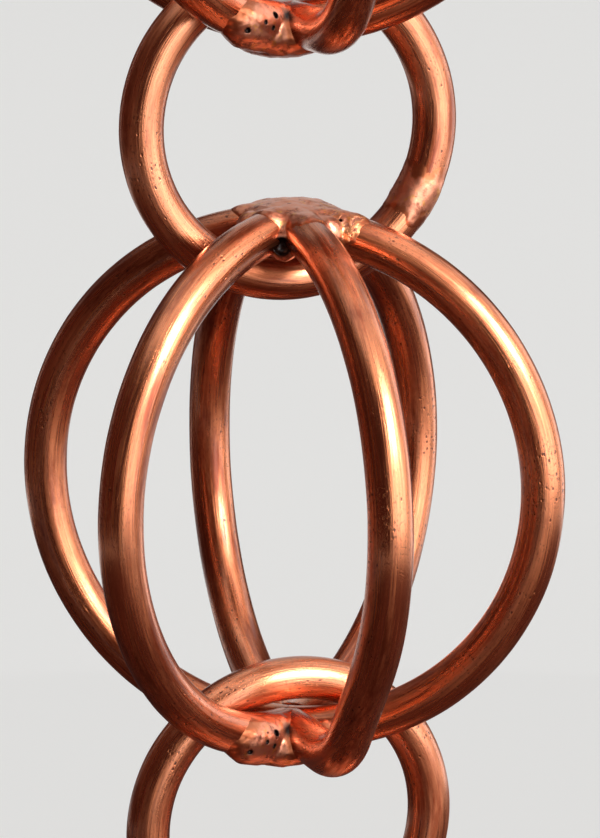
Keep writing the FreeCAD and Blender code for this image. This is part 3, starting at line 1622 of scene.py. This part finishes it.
@dataclass
class Studio:
    """A pale floor, soft lamps and the photograph's viewpoint, all placed from the middle cage."""

    target: Vector
    lowest: float
    photo_height: float = 838.0
    photo_centre: tuple[float, float] = (300.0, 419.0)
    cage_pixel: tuple[float, float] = (289.9, 480.3)
    focal_pixels: float = 3595.2
    sensor: float = 36.0
    distance: float = 525 * MM
    azimuth: float = -19.5
    elevation: float = 13.41
    floor_room: float = 45 * MM
    floor_size: float = 60.0
    floor_card_radius: float = 0.55
    floor_card_sides: int = 48
    nearest_view: float = 10 * MM
    farthest_view: float = 100.0
    paper: Colour = (0.88, 0.875, 0.86, 1.0)
    paper_rough: float = 0.95
    felt: Colour = (0.056, 0.012, 0.006, 1.0)
    felt_rough: float = 1.0
    world_glow: Colour = (0.20, 0.20, 0.20, 1.0)
    backdrop: Colour = (0.62, 0.62, 0.61, 1.0)

    @property
    def floor_level(self) -> float:
        """The height of the floor, a little under the chain."""
        return self.lowest - self.floor_room

    def from_view(self, turn: float, elevation: float, distance: float) -> Vector:
        """Gives a place round the middle cage.

        Args:
            turn: degrees to the right of the camera.
            elevation: degrees above the level.
            distance: from the middle cage.

        Returns:
            The place.
        """
        level = heading_direction(self.azimuth + turn)
        rise = math.radians(elevation)
        return self.target + distance * (math.cos(rise) * level + math.sin(rise) * UP)

    def build(self) -> None:
        """Builds the floor, the cards, the world, the lamps and the camera."""
        floor = self.lay_floor()
        self.stand_cards()
        self.light_world()
        for softbox in SOFTBOXES:
            lamp = self.hang_softbox(softbox)
            if softbox.receives is not Receives.ALL:
                self.link_floor(lamp, floor, softbox.receives)
        self.place_camera()
        bpy.context.scene.view_settings.view_transform = "Standard"
        LOG.info("studio: floor at %.3f m", self.floor_level)

    def lay_floor(self) -> bpy.types.Object:
        """Lays the pale floor.

        Returns:
            The floor.
        """
        bpy.ops.object.select_all(action="DESELECT")
        bpy.ops.mesh.primitive_plane_add(size=self.floor_size, location=(0.0, 0.0, self.floor_level))
        floor = new_piece("floor")
        floor.data.materials.append(matte_material("floor_paper", self.paper, self.paper_rough))
        floor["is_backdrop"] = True
        return floor

    def stand_cards(self) -> None:
        """Stands the dark cards round the chain and lays one under it. Only reflections see them."""
        material = matte_material("card_felt", self.felt, self.felt_rough)
        cards = []
        for card in CARDS:
            spot = self.from_view(card.turn, 0.0, card.distance)
            spot.z = self.floor_level + card.height / 2
            facing = heading_direction(self.azimuth + card.turn)
            bpy.ops.object.select_all(action="DESELECT")
            turned = facing.to_track_quat("Z", "Y").to_euler()
            bpy.ops.mesh.primitive_plane_add(size=1.0, location=spot, rotation=turned)
            bpy.context.object.scale = (card.width, card.height, 1.0)
            cards.append(new_piece(card.name))
        bpy.ops.object.select_all(action="DESELECT")
        bpy.ops.mesh.primitive_circle_add(
            vertices=self.floor_card_sides,
            radius=self.floor_card_radius,
            fill_type="NGON",
            location=(self.target.x, self.target.y, self.floor_level + MM),
        )
        cards.append(new_piece("floor_card"))
        for card in cards:
            card.data.materials.append(material)
            card.visible_camera = False
            card.visible_diffuse = False
            card.visible_transmission = False
            card.visible_shadow = False
            card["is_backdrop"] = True

    def light_world(self) -> None:
        """Sets a plain grey world that the eye and bright metal see as a pale backdrop."""
        world = bpy.data.worlds.new("studio")
        bpy.context.scene.world = world
        world.use_nodes = True
        board = Board(world.node_tree)
        path = board.node("ShaderNodeLightPath").outputs
        seen = board.math("ADD", path["Is Camera Ray"], path["Is Glossy Ray"])
        seen = board.math("ADD", seen, path["Is Transmission Ray"], clamp=True)
        glow = board.blend(seen, self.world_glow, self.backdrop)
        board.feed(world.node_tree.nodes["Background"], {"Color": glow})

    def hang_softbox(self, softbox: Softbox) -> bpy.types.Object:
        """Hangs one soft lamp.

        Args:
            softbox: the lamp's size, place and strength.

        Returns:
            The lamp.
        """
        data = bpy.data.lights.new(softbox.name, "AREA")
        data.shape = "RECTANGLE"
        data.size = softbox.width
        data.size_y = softbox.height
        data.energy = softbox.glow * math.pi * softbox.width * softbox.height
        lamp = bpy.data.objects.new(softbox.name, data)
        lamp.location = self.from_view(softbox.turn, softbox.elevation, softbox.distance)
        lamp.rotation_euler = (self.target - lamp.location).to_track_quat("-Z", "Y").to_euler()
        lamp.visible_camera = False
        bpy.context.scene.collection.objects.link(lamp)
        return lamp

    def link_floor(self, lamp: bpy.types.Object, floor: bpy.types.Object, receives: Receives) -> None:
        """Keeps a lamp's light off the floor, or to the floor alone, so that the floor is lit evenly.

        Args:
            lamp: the lamp.
            floor: the floor.
            receives: what the lamp lights.
        """
        receivers = bpy.data.collections.new(f"{lamp.name}_receivers")
        receivers.objects.link(floor)
        receivers.collection_objects[0].light_linking.link_state = receives.value
        lamp.light_linking.receiver_collection = receivers

    def place_camera(self) -> None:
        """Places the camera so that the middle cage lies where the photograph has it."""
        spot = self.from_view(0.0, self.elevation, self.distance)
        forward = (self.target - spot).normalized()
        right = forward.cross(UP).normalized()
        upward = right.cross(forward)
        pixel = self.distance / self.focal_pixels
        aim = self.target + pixel * (
            (self.photo_centre[0] - self.cage_pixel[0]) * right
            + (self.cage_pixel[1] - self.photo_centre[1]) * upward
        )
        data = bpy.data.cameras.new("photo_camera")
        data.sensor_width = self.sensor
        data.lens = self.focal_pixels / self.photo_height * self.sensor
        data.clip_start = self.nearest_view
        data.clip_end = self.farthest_view
        camera = bpy.data.objects.new("photo_camera", data)
        camera.location = spot
        camera.rotation_euler = (aim - spot).to_track_quat("-Z", "Y").to_euler()
        bpy.context.scene.collection.objects.link(camera)
        bpy.context.scene.camera = camera


def main() -> None:
    """Builds the chain and the studio around the frame."""
    logging.basicConfig(level=logging.INFO, format="%(name)s: %(message)s")
    cad_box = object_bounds()
    chain = Chain()
    chain.build()
    chain.dress()
    Studio(target=node_centre("middle_cage_hoop"), lowest=cad_box[0].z).build()


if __name__ == "__main__":
    main()
